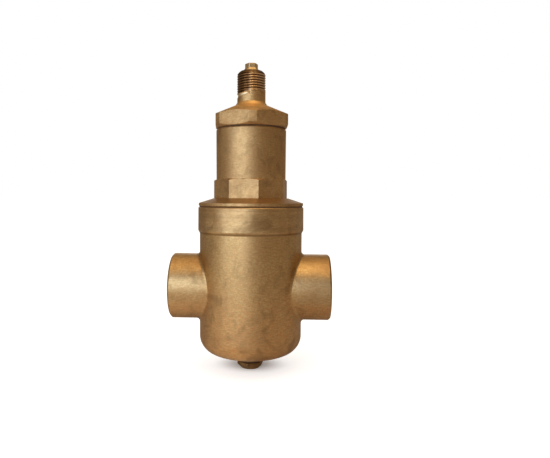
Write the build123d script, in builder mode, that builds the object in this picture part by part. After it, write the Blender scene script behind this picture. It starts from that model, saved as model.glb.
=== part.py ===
from build123d import *

import os
from math import cos, radians, sin, tan

# Inline micro-bubble separator with an automatic float vent, in millimetres.
# +Z is up, +X is the outlet, and the origin is under the drain plug, on the vertical axis.

# Drain plug and its boss
plug_head_height = 5.0
plug_flats = 17.0
plug_turn = 20.0
plug_bevel_width = 1.9
plug_thread_radius = 6.5
plug_thread_length = 9.0
plug_bore_radius = 3.5
washer_height = 1.4
washer_inset = 0.2
drain_boss_height = 5.6
drain_boss_land = 1.1

# Body casting
body_height = 105.0
body_radius = 37.2
body_draft_angle = 0.25
body_corner_radius = 12.4
body_wall = 4.6
floor_thickness = 5.0
floor_corner_radius = 8.0
collar_step = 1.2
collar_height = 16.7
collar_bevel_height = 2.2
collar_edge = 0.5
collar_wall = 4.2
lid_thread_length = 12.8

# Solder sockets for 1-1/2 inch copper tube
socket_height = 47.1
socket_bore_radius = 20.7
socket_wall = 2.8
socket_depth = 27.7
socket_edge = 1.2
socket_fillet = 2.4
stop_step = 1.5
stop_width = 1.6
stop_setback = 3.1

# Lid and float chamber, one piece
lid_seal_height = 0.7
lid_seal_recess = 0.5
lid_inset = 0.3
lid_rim_height = 2.2
lid_cone_rise = 3.5
lid_spigot_wall = 3.2
wrench_inset = 0.15
wrench_height = 13.7
wrench_turn = -76.0
wrench_bevel_angle = 30.0
chamber_bore_radius = 22.0
chamber_wall = 3.25
chamber_flare = 0.3
chamber_height = 36.2
chamber_edge = 0.7
cap_thread_step = 0.7
cap_thread_length = 12.0

# Vent cap
cap_seal_height = 0.9
cap_seal_width = 2.0
cap_overhang = 0.3
cap_corner_step = 2.55
cap_turn = -84.6
cap_corner_height = 9.4
cap_cone_angle = 24.0
cap_bevel_angle = 30.0
cap_spigot_wall = 3.0
cap_roof_thickness = 5.2
neck_thread_radius = 10.48
neck_step = 0.13
neck_fillet = 2.0
neck_plain_length = 6.8
neck_relief_depth = 0.53
neck_relief_width = 2.4
neck_thread_length = 15.2
neck_chamfer_height = 2.9
neck_chamfer_width = 2.2
seat_boss_radius = 14.0
seat_bore_radius = 4.0
vent_bore_radius = 2.2

# Vent screw
screw_thread_radius = 4.0
screw_thread_length = 8.0
screw_seal_wire = 1.5
screw_flange_radius = 6.3
screw_flange_height = 2.1
screw_head_flats = 8.4
screw_head_height = 3.5
screw_head_turn = 10.7
screw_duct_radius = 1.2

# Float valve
seat_flange_radius = 5.2
seat_flange_height = 1.6
seat_nozzle_height = 1.2
seat_nozzle_radius = 2.2
orifice_radius = 1.0
bracket_sheet = 1.2
bracket_width = 13.0
bracket_length = 26.0
cheek_length = 6.4
cheek_edge = 2.8
pivot_offset = 6.0
pivot_drop = 16.8
lever_reach = 12.0
lever_thickness = 2.4
lever_height = 4.4
lever_swing = 19.1
link_pin_radius = 0.9
pivot_pin_radius = 1.0
valve_stem_radius = 1.5
valve_head_radius = 2.8
valve_tip_radius = 2.2
valve_tip_height = 1.6
valve_tip_bed = 0.6
valve_head_height = 1.9
fork_sheet = 1.0
fork_width = 3.6
fork_headroom = 4.4
guide_sheet = 1.2
guide_reach = 7.0
bracket_screw_radius = 1.25
bracket_screw_head_radius = 2.1
bracket_screw_head_height = 1.5
bracket_screw_length = 4.4
bracket_screw_offset = 9.4

# Float
float_clearance = 3.5
float_height = 34.0
float_wall = 1.2
float_edge = 4.0
fin_drop = 2.4
fin_clearance = 0.6
fin_thickness = 1.6
fin_height = 12.0
fin_count = 4
stem_width = 3.0
stem_foot_radius = 3.0
stem_foot_height = 1.2

# Bubble element and splash baffle
element_clearance = 2.9
element_plate = 2.0
element_foot_height = 3.6
element_foot_radius = 2.0
element_foot_inset = 6.0
plate_hole_radius = 3.2
plate_hole_count = 6
core_radius = 7.0
core_wall = 1.2
core_slot_width = 3.0
core_slot_height = 16.0
core_slot_rows = 4
cage_rib_count = 12
cage_rib_width = 2.0
cage_ring_count = 4
cage_ring_height = 2.4
cage_wall = 2.4
screen_wall = 0.5
screen_column_count = 20
screen_row_count = 5
screen_bar = 2.2
baffle_thickness = 1.4
baffle_hole_radius = 3.2
baffle_hole_count = 12
baffle_hole_inset = 5.9
baffle_vent_radius = 9.0

# Clearances
fit = 0.1
running = 0.05
gap = 0.3

# Radii, from the body outwards and from the float chamber's bore outwards
cavity_radius = body_radius - body_wall
collar_radius = body_radius + collar_step
lid_radius = collar_radius - lid_inset
lid_thread_radius = collar_radius - collar_wall
lid_spigot_radius = lid_thread_radius - fit
lid_spigot_bore = lid_spigot_radius - lid_spigot_wall
baffle_hole_circle = lid_spigot_bore - baffle_hole_inset
socket_radius = socket_bore_radius + socket_wall
waterway_radius = socket_bore_radius - stop_step
socket_stop = cavity_radius - stop_setback
socket_reach = socket_stop + socket_depth
element_radius = socket_stop - stop_width - element_clearance
element_foot_circle = element_radius - element_foot_inset
screen_radius = element_radius - cage_wall
float_radius = chamber_bore_radius - float_clearance
fin_reach = float_clearance - fin_clearance
chamber_foot_radius = chamber_bore_radius + chamber_wall
chamber_top_radius = chamber_foot_radius + chamber_flare
wrench_flats = 2 * (chamber_foot_radius - wrench_inset)
cap_flats = 2 * (chamber_top_radius + cap_overhang)
cap_corner_radius = cap_flats / 2 + cap_corner_step
cap_thread_radius = chamber_bore_radius + cap_thread_step
cap_spigot_radius = cap_thread_radius - fit
cap_spigot_bore = cap_spigot_radius - cap_spigot_wall
neck_radius = neck_thread_radius - neck_step
neck_relief_radius = neck_thread_radius - neck_relief_depth
plug_face_radius = plug_flats / 2 - plug_bevel_width
washer_radius = plug_flats / 2 - washer_inset
drain_boss_radius = washer_radius + drain_boss_land

# Heights, from the drain plug's face upwards
boss_bottom = plug_head_height + washer_height
body_bottom = boss_bottom + drain_boss_height
body_top = body_bottom + body_height
cavity_floor = body_bottom + floor_thickness
socket_axis = body_bottom + socket_height
ledge = body_top - lid_thread_length
lid_bottom = body_top + lid_seal_height
lid_rim_top = lid_bottom + lid_rim_height
wrench_bottom = lid_rim_top + lid_cone_rise
wrench_top = wrench_bottom + wrench_height
chamber_top = wrench_top + chamber_height
cap_bottom = chamber_top + cap_seal_height
cap_corner_top = cap_bottom + cap_corner_height
cone_slope = tan(radians(cap_cone_angle))
cone_top = cap_corner_top + (cap_corner_radius - neck_radius) * cone_slope
relief_bottom = cone_top + neck_plain_length
neck_thread_bottom = relief_bottom + neck_relief_width
neck_top = neck_thread_bottom + neck_thread_length
seat_face = cone_top - cap_roof_thickness
nozzle_face = seat_face - seat_flange_height - seat_nozzle_height
pivot_height = seat_face - pivot_drop
cheek_drop = pivot_drop + cheek_edge
guide_top = pivot_height + lever_height / 2 + fork_headroom

# Linkage: the float lifts the lever's end, and the valve sits a third of the way out
float_arm = pivot_offset + lever_reach
float_travel = float_arm * radians(lever_swing)
valve_travel = pivot_offset * radians(lever_swing)
lever_rest_angle = lever_swing / 2
float_link_rest = pivot_height - float_travel / 2
valve_link_rest = pivot_height - valve_travel / 2
tip_top = nozzle_face - gap - valve_travel
float_top = pivot_height - lever_height / 2 - gap - float_travel - stem_foot_height
float_weld = float_top - float_height / 2
float_bottom = float_top - float_height

# Bubble element between the cavity's floor and the ledge under the lid
element_bottom = cavity_floor + element_foot_height
element_top = ledge - element_plate


def half_profile(points):
    """Closed face of (radius, height) points in the XZ plane, ready to revolve about Z."""
    with BuildSketch(Plane.XZ) as profile:
        with BuildLine():
            Polyline(*points, close=True)
        make_face()
    return profile.sketch


def ring_profile(inner, outer, bottom, top):
    """Half section of a plain ring between two radii and two heights."""
    return half_profile([(inner, bottom), (outer, bottom), (outer, top), (inner, top)])


def regular_prism(sides, flats, turn, bottom, height):
    """Upright prism over its flats, with one corner at the given angle from +X."""
    with BuildPart() as prism:
        with BuildSketch(Plane.XY.offset(bottom)):
            RegularPolygon(flats / 2, sides, major_radius=False, rotation=turn)
        extrude(amount=height)
    return prism.part


def cross_pin(radius, length, x, z):
    """Pin along Y through a point of the linkage."""
    with BuildPart() as pin:
        with BuildSketch(Plane.XZ.offset(-length / 2)):
            with Locations((x, z)):
                Circle(radius)
        extrude(amount=length)
        chamfer(pin.edges().filter_by(GeomType.CIRCLE), radius / 5)
    return pin.part


# Body casting: a drafted pot with a turned collar, two solder sockets and a drain boss
draft = tan(radians(body_draft_angle))
collar_bevel_bottom = body_top - collar_height - collar_bevel_height
foot_radius = body_radius - (collar_bevel_bottom - body_bottom) * draft
body_shoulder = body_bottom + body_corner_radius

with BuildPart() as separator_body:
    with BuildSketch(Plane.XZ):
        with BuildLine():
            Line((0, body_bottom), (foot_radius - body_corner_radius, body_bottom))
            CenterArc(
                (foot_radius - body_corner_radius, body_shoulder), body_corner_radius, -90, 90
            )
            Polyline(
                (foot_radius, body_shoulder),
                (body_radius, collar_bevel_bottom),
                (collar_radius, collar_bevel_bottom + collar_bevel_height),
                (collar_radius, body_top - collar_edge),
                (collar_radius - collar_edge, body_top),
                (0, body_top),
                (0, body_bottom),
            )
        make_face()
    revolve(axis=Axis.Z)
    with BuildSketch(Plane.YZ.offset(-socket_reach)):
        with Locations((0, socket_axis)):
            Circle(socket_radius)
    extrude(amount=2 * socket_reach)
    junctions = separator_body.edges().filter_by(
        lambda edge: edge.geom_type not in (GeomType.LINE, GeomType.CIRCLE)
        and abs(edge.center().Z - socket_axis) < socket_radius
    )
    fillet(junctions, socket_fillet)
    ends = separator_body.edges().filter_by(GeomType.CIRCLE).group_by(Axis.X)
    chamfer(ends[0] + ends[-1], socket_edge)
    revolve(ring_profile(0, drain_boss_radius, boss_bottom, body_bottom + floor_thickness), axis=Axis.Z)

    with BuildSketch(Plane.XZ):
        with BuildLine():
            Line((0, cavity_floor), (cavity_radius - floor_corner_radius, cavity_floor))
            CenterArc(
                (cavity_radius - floor_corner_radius, cavity_floor + floor_corner_radius),
                floor_corner_radius,
                -90,
                90,
            )
            Polyline(
                (cavity_radius, cavity_floor + floor_corner_radius),
                (cavity_radius, ledge),
                (lid_thread_radius, ledge),
                (lid_thread_radius, body_top),
                (0, body_top),
                (0, cavity_floor),
            )
        make_face()
    revolve(axis=Axis.Z, mode=Mode.SUBTRACT)
    for side in (-1, 1):
        inner_end = socket_stop - stop_width
        with BuildSketch(Plane.YZ.offset(side * inner_end)):
            with Locations((0, socket_axis)):
                Circle(socket_radius)
        extrude(amount=side * (cavity_radius - inner_end))
        with BuildSketch(Plane.YZ.offset(side * inner_end)):
            with Locations((0, socket_axis)):
                Circle(waterway_radius)
        extrude(amount=side * (socket_reach - inner_end), mode=Mode.SUBTRACT)
        with BuildSketch(Plane.YZ.offset(side * socket_stop)):
            with Locations((0, socket_axis)):
                Circle(socket_bore_radius)
        extrude(amount=side * socket_depth, mode=Mode.SUBTRACT)
    drain_bore = ring_profile(0, plug_thread_radius + fit, boss_bottom, cavity_floor)
    revolve(drain_bore, axis=Axis.Z, mode=Mode.SUBTRACT)

separator_body.part.label = "separator_body"

# Flat seals under the lid and under the cap
with BuildPart() as body_seal_ring:
    revolve(
        ring_profile(lid_thread_radius + gap, lid_radius - lid_seal_recess, body_top, lid_bottom),
        axis=Axis.Z,
    )
body_seal_ring.part.label = "body_seal_ring"

with BuildPart() as cap_seal_ring:
    revolve(
        ring_profile(cap_thread_radius, cap_thread_radius + cap_seal_width, chamber_top, cap_bottom),
        axis=Axis.Z,
    )
cap_seal_ring.part.label = "cap_seal_ring"

# Float chamber: lid, spigot, eight-sided wrench section and tube in one turned piece
wrench_corner = wrench_flats / 2 / cos(radians(180 / 8))
wrench_bevel = (wrench_corner - wrench_flats / 2) * tan(radians(wrench_bevel_angle))
spigot_bottom = ledge + baffle_thickness + fit

with BuildPart() as float_chamber:
    revolve(
        half_profile(
            [
                (0, lid_bottom),
                (lid_radius - collar_edge, lid_bottom),
                (lid_radius, lid_bottom + collar_edge),
                (lid_radius, lid_rim_top),
                (wrench_corner, wrench_bottom),
                (0, wrench_bottom),
            ]
        ),
        axis=Axis.Z,
    )
    revolve(ring_profile(0, lid_spigot_radius, spigot_bottom, lid_bottom), axis=Axis.Z)
    spigot_edges = float_chamber.edges().filter_by(GeomType.CIRCLE).group_by(Axis.Z)[0]
    chamfer(spigot_edges, lid_spigot_wall / 4)
    wrench = regular_prism(8, wrench_flats, wrench_turn, wrench_bottom, wrench_height)
    add(wrench)
    revolve(
        half_profile(
            [
                (wrench_flats / 2, wrench_top),
                (wrench_corner + gap, wrench_top - wrench_bevel),
                (wrench_corner + gap, wrench_top + gap),
                (wrench_flats / 2, wrench_top + gap),
            ]
        ),
        axis=Axis.Z,
        mode=Mode.SUBTRACT,
    )
    revolve(
        half_profile(
            [
                (0, wrench_bottom),
                (chamber_foot_radius - gap, wrench_bottom),
                (chamber_foot_radius - gap, wrench_top - wrench_bevel),
                (chamber_foot_radius, wrench_top),
                (chamber_top_radius, chamber_top - chamber_edge),
                (chamber_top_radius - chamber_edge, chamber_top),
                (0, chamber_top),
            ]
        ),
        axis=Axis.Z,
    )
    revolve(
        half_profile(
            [
                (0, spigot_bottom),
                (lid_spigot_bore, spigot_bottom),
                (lid_spigot_bore, lid_bottom),
                (chamber_bore_radius, wrench_bottom),
                (chamber_bore_radius, chamber_top - cap_thread_length - gap),
                (cap_thread_radius, chamber_top - cap_thread_length - gap),
                (cap_thread_radius, chamber_top),
                (0, chamber_top),
            ]
        ),
        axis=Axis.Z,
        mode=Mode.SUBTRACT,
    )
float_chamber.part.label = "float_chamber"

# Vent cap: hexagon turned to a cone, neck for the discharge line, spigot into the chamber
cap_envelope_rise = (cap_corner_radius - cap_flats / 2) * tan(radians(cap_bevel_angle))
roof_edge = seat_face - (cap_spigot_bore - seat_boss_radius) * cone_slope

with BuildPart() as vent_cap:
    add(regular_prism(6, cap_flats, cap_turn, cap_bottom, cone_top - cap_bottom))
    revolve(
        half_profile(
            [
                (0, cap_bottom),
                (cap_flats / 2 - gap, cap_bottom),
                (cap_corner_radius, cap_bottom + cap_envelope_rise + gap),
                (cap_corner_radius, cap_corner_top),
                (neck_radius, cone_top),
                (0, cone_top),
            ]
        ),
        axis=Axis.Z,
        mode=Mode.INTERSECT,
    )
    revolve(
        half_profile(
            [
                (0, cone_top - neck_fillet),
                (neck_radius, cone_top - neck_fillet),
                (neck_radius, relief_bottom),
                (neck_relief_radius, relief_bottom + neck_radius - neck_relief_radius),
                (neck_relief_radius, neck_thread_bottom - gap),
                (neck_thread_radius, neck_thread_bottom),
                (neck_thread_radius, neck_top - neck_chamfer_height),
                (neck_thread_radius - neck_chamfer_width, neck_top),
                (0, neck_top),
            ]
        ),
        axis=Axis.Z,
    )
    neck_root = vent_cap.edges().filter_by(GeomType.CIRCLE).filter_by(
        lambda edge: abs(edge.radius - neck_radius) < fit and abs(edge.center().Z - cone_top) < fit
    )
    fillet(neck_root, neck_fillet)
    revolve(
        ring_profile(0, cap_spigot_radius, chamber_top - cap_thread_length, cap_bottom), axis=Axis.Z
    )
    spigot_rim = vent_cap.edges().filter_by(GeomType.CIRCLE).group_by(Axis.Z)[0]
    chamfer(spigot_rim, cap_spigot_wall / 4)
    revolve(
        half_profile(
            [
                (0, chamber_top - cap_thread_length),
                (cap_spigot_bore, chamber_top - cap_thread_length),
                (cap_spigot_bore, roof_edge),
                (seat_boss_radius, seat_face),
                (0, seat_face),
            ]
        ),
        axis=Axis.Z,
        mode=Mode.SUBTRACT,
    )
    revolve(
        half_profile(
            [
                (0, seat_face),
                (seat_bore_radius + fit, seat_face),
                (seat_bore_radius + fit, relief_bottom),
                (vent_bore_radius, relief_bottom + seat_bore_radius),
                (vent_bore_radius, neck_top - screw_thread_length - gap),
                (screw_thread_radius + fit, neck_top - screw_thread_length - gap),
                (screw_thread_radius + fit, neck_top),
                (0, neck_top),
            ]
        ),
        axis=Axis.Z,
        mode=Mode.SUBTRACT,
    )
    with BuildSketch(Plane.XY.offset(seat_face)):
        with Locations((-bracket_screw_offset, 0), (bracket_screw_offset, 0)):
            Circle(bracket_screw_radius + running)
    extrude(amount=bracket_screw_length - bracket_sheet + gap, mode=Mode.SUBTRACT)
vent_cap.part.label = "vent_cap"

# Valve seat: screwed insert with the orifice in a raised nozzle
with BuildPart() as valve_seat:
    revolve(
        half_profile(
            [
                (orifice_radius, nozzle_face),
                (seat_nozzle_radius - orifice_radius / 2, nozzle_face),
                (seat_nozzle_radius, nozzle_face + seat_nozzle_height),
                (seat_flange_radius, nozzle_face + seat_nozzle_height),
                (seat_flange_radius, seat_face),
                (seat_bore_radius, seat_face),
                (seat_bore_radius, relief_bottom - gap),
                (vent_bore_radius, relief_bottom - gap),
                (vent_bore_radius, seat_face + seat_flange_height),
                (orifice_radius, seat_face),
            ]
        ),
        axis=Axis.Z,
    )
valve_seat.part.label = "valve_seat"

# Lever bracket: a plate round the seat, two cheeks for the pivot and a folded guide tab
cheek_inner = bracket_width / 2 - bracket_sheet
with BuildPart() as lever_bracket:
    with BuildSketch(Plane.XY.offset(seat_face - bracket_sheet)):
        RectangleRounded(bracket_length, bracket_width, bracket_width / 5)
        Circle(seat_flange_radius + fit, mode=Mode.SUBTRACT)
        with Locations((-bracket_screw_offset, 0), (bracket_screw_offset, 0)):
            Circle(bracket_screw_radius + running, mode=Mode.SUBTRACT)
    extrude(amount=bracket_sheet)
    for side in (-1, 1):
        with BuildSketch(Plane.XZ.offset(-side * cheek_inner)):
            with Locations((pivot_offset, seat_face - cheek_drop / 2)):
                RectangleRounded(cheek_length, cheek_drop, bracket_sheet)
            with Locations((pivot_offset, pivot_height)):
                Circle(pivot_pin_radius + running, mode=Mode.SUBTRACT)
        extrude(amount=-side * bracket_sheet)
    with BuildSketch(Plane.XY.offset(guide_top - guide_sheet)):
        with Locations(((pivot_offset - guide_reach) / 2 + bracket_sheet, 0)):
            Rectangle(guide_reach + pivot_offset, 2 * cheek_inner + gap)
        Circle(valve_stem_radius + running, mode=Mode.SUBTRACT)
    extrude(amount=guide_sheet)
lever_bracket.part.label = "lever_bracket"

with BuildPart() as bracket_screws:
    with BuildSketch(Plane.XY.offset(seat_face - bracket_sheet)):
        with Locations((-bracket_screw_offset, 0), (bracket_screw_offset, 0)):
            Circle(bracket_screw_radius)
    extrude(amount=bracket_screw_length)
    with BuildSketch(Plane.XY.offset(seat_face - bracket_sheet)):
        with Locations((-bracket_screw_offset, 0), (bracket_screw_offset, 0)):
            Circle(bracket_screw_head_radius)
    extrude(amount=-bracket_screw_head_height)
bracket_screws.part.label = "bracket_screws"

lever_pin = cross_pin(pivot_pin_radius, bracket_width + 2 * gap, pivot_offset, pivot_height)
lever_pin.label = "lever_pin"

# Valve lever, turned down to where the hanging float holds it
slot_slack = float_arm * (1 - cos(radians(lever_rest_angle))) + fit
lever_plane = Plane(
    origin=(pivot_offset, -lever_thickness / 2, pivot_height),
    x_dir=(cos(radians(lever_rest_angle)), 0, sin(radians(lever_rest_angle))),
    z_dir=(0, -1, 0),
)
with BuildPart() as valve_lever:
    with BuildSketch(lever_plane):
        with Locations((-float_arm / 2, 0)):
            SlotCenterToCenter(float_arm, lever_height)
        Circle(pivot_pin_radius + running, mode=Mode.SUBTRACT)
        with Locations((-pivot_offset, 0), (-float_arm, 0)):
            SlotCenterToCenter(2 * slot_slack, 2 * (link_pin_radius + fit), mode=Mode.SUBTRACT)
    extrude(amount=-lever_thickness)
valve_lever.part.label = "valve_lever"

# Valve pin: fork round the lever, guided stem and a cup that holds the rubber tip
fork_inner = lever_thickness / 2 + gap
fork_outer = fork_inner + fork_sheet
head_bottom = tip_top - valve_tip_height + valve_tip_bed - valve_head_height
fork_top = guide_top - guide_sheet - valve_travel - gap
fork_bottom = valve_link_rest - fork_width / 2
with BuildPart() as valve_pin:
    with BuildSketch(Plane.XZ.offset(-fork_outer)):
        with Locations((0, (fork_top + fork_bottom) / 2)):
            RectangleRounded(fork_width, fork_top - fork_bottom, fork_sheet / 2)
        with Locations((0, valve_link_rest)):
            Circle(link_pin_radius + running, mode=Mode.SUBTRACT)
    extrude(amount=2 * fork_outer)
    with BuildSketch(Plane.XZ.offset(-fork_inner)):
        with Locations((0, fork_bottom)):
            Rectangle(2 * fork_width, 2 * (fork_top - fork_sheet - fork_bottom))
    extrude(amount=2 * fork_inner, mode=Mode.SUBTRACT)
    revolve(ring_profile(0, valve_stem_radius, fork_top - fork_sheet / 2, head_bottom + fit), axis=Axis.Z)
    revolve(
        half_profile(
            [
                (0, head_bottom),
                (valve_stem_radius, head_bottom),
                (valve_head_radius, head_bottom + valve_head_height / 3),
                (valve_head_radius, head_bottom + valve_head_height),
                (valve_tip_radius + running, head_bottom + valve_head_height),
                (valve_tip_radius + running, head_bottom + valve_head_height - valve_tip_bed),
                (0, head_bottom + valve_head_height - valve_tip_bed),
            ]
        ),
        axis=Axis.Z,
    )
valve_pin.part.label = "valve_pin"

with BuildPart() as valve_tip:
    revolve(ring_profile(0, valve_tip_radius, tip_top - valve_tip_height, tip_top), axis=Axis.Z)
valve_tip.part.label = "valve_tip"

valve_link_pin = cross_pin(link_pin_radius, 2 * fork_outer, 0, valve_link_rest)
valve_link_pin.label = "valve_link_pin"

# Float: two welded shells with guide fins, and a stem with a fork for the lever's end
with BuildPart() as float_upper_shell:
    revolve(ring_profile(0, float_radius, float_weld, float_top), axis=Axis.Z)
    fillet(float_upper_shell.edges().group_by(Axis.Z)[-1], float_edge)
    offset(amount=-float_wall, openings=float_upper_shell.faces().sort_by(Axis.Z)[0])
float_upper_shell.part.label = "float_upper_shell"

with BuildPart() as float_lower_shell:
    revolve(ring_profile(0, float_radius, float_bottom, float_weld), axis=Axis.Z)
    fillet(float_lower_shell.edges().group_by(Axis.Z)[0], float_edge)
    offset(amount=-float_wall, openings=float_lower_shell.faces().sort_by(Axis.Z)[-1])
    with BuildSketch(Plane.XY.offset(float_weld - fin_drop - fin_height)):
        with PolarLocations(float_radius - float_wall / 2, fin_count, start_angle=180 / fin_count):
            Rectangle(2 * fin_reach + float_wall, fin_thickness)
        Circle(float_radius - float_wall / 2, mode=Mode.SUBTRACT)
    extrude(amount=fin_height)
float_lower_shell.part.label = "float_lower_shell"

stem_top = float_link_rest + stem_width / 2
stem_saddle = float_top + stem_foot_height
with BuildPart() as float_stem:
    with BuildSketch(Plane.XY.offset(float_top)):
        with Locations((-lever_reach, 0)):
            Circle(stem_foot_radius)
    extrude(amount=stem_foot_height)
    with BuildSketch(Plane.XZ.offset(-fork_outer)):
        with Locations((-lever_reach, (stem_top + stem_saddle) / 2)):
            RectangleRounded(stem_width, stem_top - stem_saddle, stem_width / 3)
        with Locations((-lever_reach, stem_saddle + fork_sheet / 2)):
            Rectangle(stem_width, fork_sheet)
        with Locations((-lever_reach, float_link_rest)):
            Circle(link_pin_radius + running, mode=Mode.SUBTRACT)
    extrude(amount=2 * fork_outer)
    with BuildSketch(Plane.XZ.offset(-fork_inner)):
        with Locations((-lever_reach, stem_top)):
            Rectangle(2 * stem_width, 2 * (stem_top - stem_saddle - fork_sheet))
    extrude(amount=2 * fork_inner, mode=Mode.SUBTRACT)
float_stem.part.label = "float_stem"

float_link_pin = cross_pin(link_pin_radius, 2 * fork_outer, -lever_reach, float_link_rest)
float_link_pin.label = "float_link_pin"

# Vent screw: hollow, with a cone under its hexagon that closes on the seal in the neck
screw_seat = neck_top + gap
screw_head_bottom = screw_seat + screw_flange_height
screw_cone_radius = screw_head_flats / 2 / cos(radians(30))
seal_bottom = screw_seat - screw_seal_wire - gap
groove_floor = screw_thread_radius - screw_seal_wire
with BuildPart() as vent_screw:
    revolve(
        half_profile(
            [
                (0, neck_top - screw_thread_length),
                (screw_thread_radius, neck_top - screw_thread_length),
                (screw_thread_radius, seal_bottom),
                (groove_floor, seal_bottom),
                (groove_floor, screw_seat),
                (screw_flange_radius, screw_seat),
                (screw_cone_radius, screw_head_bottom),
                (0, screw_head_bottom),
            ]
        ),
        axis=Axis.Z,
    )
    head = regular_prism(
        6, screw_head_flats, screw_head_turn, screw_head_bottom - fit, screw_head_height + fit
    )
    add(head)
    chamfer(vent_screw.faces().sort_by(Axis.Z)[-1].edges(), screw_head_height / 12)
    with BuildSketch(Plane.XY.offset(neck_top - screw_thread_length)):
        Circle(screw_duct_radius)
    extrude(until=Until.LAST, mode=Mode.SUBTRACT)
vent_screw.part.label = "vent_screw"

seal_radius = screw_seal_wire / 2 - running
with BuildPart() as vent_screw_oring:
    with BuildSketch(Plane.XZ):
        with Locations((groove_floor + screw_seal_wire / 2, (seal_bottom + screw_seat) / 2)):
            Circle(seal_radius)
    revolve(axis=Axis.Z)
vent_screw_oring.part.label = "vent_screw_oring"

# Drain plug: hexagon with a deep bevel under a hollow thread, closed on a flat washer
plug_corner = plug_flats / 2 / cos(radians(30))
with BuildPart() as drain_plug:
    add(regular_prism(6, plug_flats, plug_turn, 0, plug_head_height))
    revolve(
        half_profile(
            [
                (0, 0),
                (plug_face_radius, 0),
                (plug_corner, plug_corner - plug_face_radius),
                (plug_corner, plug_head_height - collar_edge),
                (plug_corner - collar_edge, plug_head_height),
                (0, plug_head_height),
            ]
        ),
        axis=Axis.Z,
        mode=Mode.INTERSECT,
    )
    with BuildSketch(Plane.XY.offset(plug_head_height)):
        Circle(plug_thread_radius)
    extrude(amount=washer_height + plug_thread_length)
    chamfer(drain_plug.edges().filter_by(GeomType.CIRCLE).group_by(Axis.Z)[-1], collar_edge)
    with BuildSketch(Plane.XY.offset(plug_head_height + washer_height)):
        Circle(plug_bore_radius)
    extrude(amount=plug_thread_length, mode=Mode.SUBTRACT)
drain_plug.part.label = "drain_plug"

with BuildPart() as drain_plug_washer:
    revolve(
        ring_profile(plug_thread_radius + running, washer_radius, plug_head_height, boss_bottom),
        axis=Axis.Z,
    )
drain_plug_washer.part.label = "drain_plug_washer"

# Bubble element: plates at both ends, slotted core, moulded cage and a sleeve of mesh
plate_hole_circle = (core_radius + screen_radius) / 2
with BuildPart() as element_bottom_plate:
    with BuildSketch(Plane.XY.offset(element_bottom)):
        Circle(element_radius)
        Circle(core_radius - core_wall, mode=Mode.SUBTRACT)
        with PolarLocations(plate_hole_circle, plate_hole_count, start_angle=30):
            Circle(plate_hole_radius, mode=Mode.SUBTRACT)
    extrude(amount=element_plate)
    with BuildSketch(Plane.XY.offset(cavity_floor + fit)):
        with PolarLocations(element_foot_circle, 4, start_angle=45):
            Circle(element_foot_radius)
    extrude(amount=element_foot_height - fit)
element_bottom_plate.part.label = "element_bottom_plate"

element_inner_bottom = element_bottom + element_plate
element_inner_top = element_top - element_plate
element_span = element_inner_top - element_inner_bottom
with BuildPart() as element_top_plate:
    with BuildSketch(Plane.XY.offset(element_inner_top)):
        Circle(element_radius)
        Circle(core_radius - core_wall, mode=Mode.SUBTRACT)
        with PolarLocations(plate_hole_circle, plate_hole_count, start_angle=30):
            Circle(plate_hole_radius, mode=Mode.SUBTRACT)
    extrude(amount=element_plate)
    with BuildSketch(Plane.XY.offset(element_top)):
        Circle(baffle_vent_radius + element_plate)
        Circle(baffle_vent_radius, mode=Mode.SUBTRACT)
    extrude(amount=ledge - element_top - fit)
element_top_plate.part.label = "element_top_plate"

with BuildPart() as element_core_tube:
    revolve(
        ring_profile(core_radius - core_wall, core_radius, element_inner_bottom, element_inner_top),
        axis=Axis.Z,
    )
    slot_pitch = element_span / core_slot_rows
    for row in range(core_slot_rows):
        slot_height = element_inner_bottom + (row + 0.5) * slot_pitch
        across = (0, 1, 0) if row % 2 else (1, 0, 0)
        with BuildSketch(Plane(origin=(0, 0, slot_height), x_dir=(0, 0, 1), z_dir=across)):
            SlotOverall(core_slot_height, core_slot_width)
        extrude(amount=core_radius, both=True, mode=Mode.SUBTRACT)
element_core_tube.part.label = "element_core_tube"

with BuildPart() as element_cage:
    ring_pitch = (element_span - cage_ring_height) / (cage_ring_count - 1)
    for level in range(cage_ring_count):
        ring_bottom = element_inner_bottom + level * ring_pitch
        with BuildSketch(Plane.XY.offset(ring_bottom)):
            Circle(element_radius)
            Circle(screen_radius + fit, mode=Mode.SUBTRACT)
        extrude(amount=cage_ring_height)
    with BuildSketch(Plane.XY.offset(element_inner_bottom)):
        with PolarLocations(element_radius - cage_wall / 2, cage_rib_count, start_angle=15):
            Rectangle(cage_wall - fit, cage_rib_width)
        Circle(screen_radius + fit, mode=Mode.SUBTRACT)
    extrude(amount=element_span)
element_cage.part.label = "element_cage"

with BuildPart() as element_screen:
    revolve(
        ring_profile(screen_radius - screen_wall, screen_radius, element_inner_bottom, element_inner_top),
        axis=Axis.Z,
    )
    row_pitch = element_span / screen_row_count
    screen_column_pitch = 2 * screen_radius * sin(radians(180 / screen_column_count))
    for row in range(screen_row_count):
        with BuildSketch(Plane.XY.offset(element_inner_bottom + row * row_pitch + screen_bar / 2)):
            with PolarLocations(screen_radius, screen_column_count):
                Rectangle(4 * screen_wall, screen_column_pitch - screen_bar)
        extrude(amount=row_pitch - screen_bar, mode=Mode.SUBTRACT)
element_screen.part.label = "element_screen"

# Splash baffle: clamped on the ledge by the float chamber's spigot
with BuildPart() as splash_baffle:
    with BuildSketch(Plane.XY.offset(ledge)):
        Circle(lid_thread_radius - fit)
        Circle(baffle_vent_radius, mode=Mode.SUBTRACT)
        with PolarLocations(baffle_hole_circle, baffle_hole_count):
            Circle(baffle_hole_radius, mode=Mode.SUBTRACT)
    extrude(amount=baffle_thickness)
splash_baffle.part.label = "splash_baffle"

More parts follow.
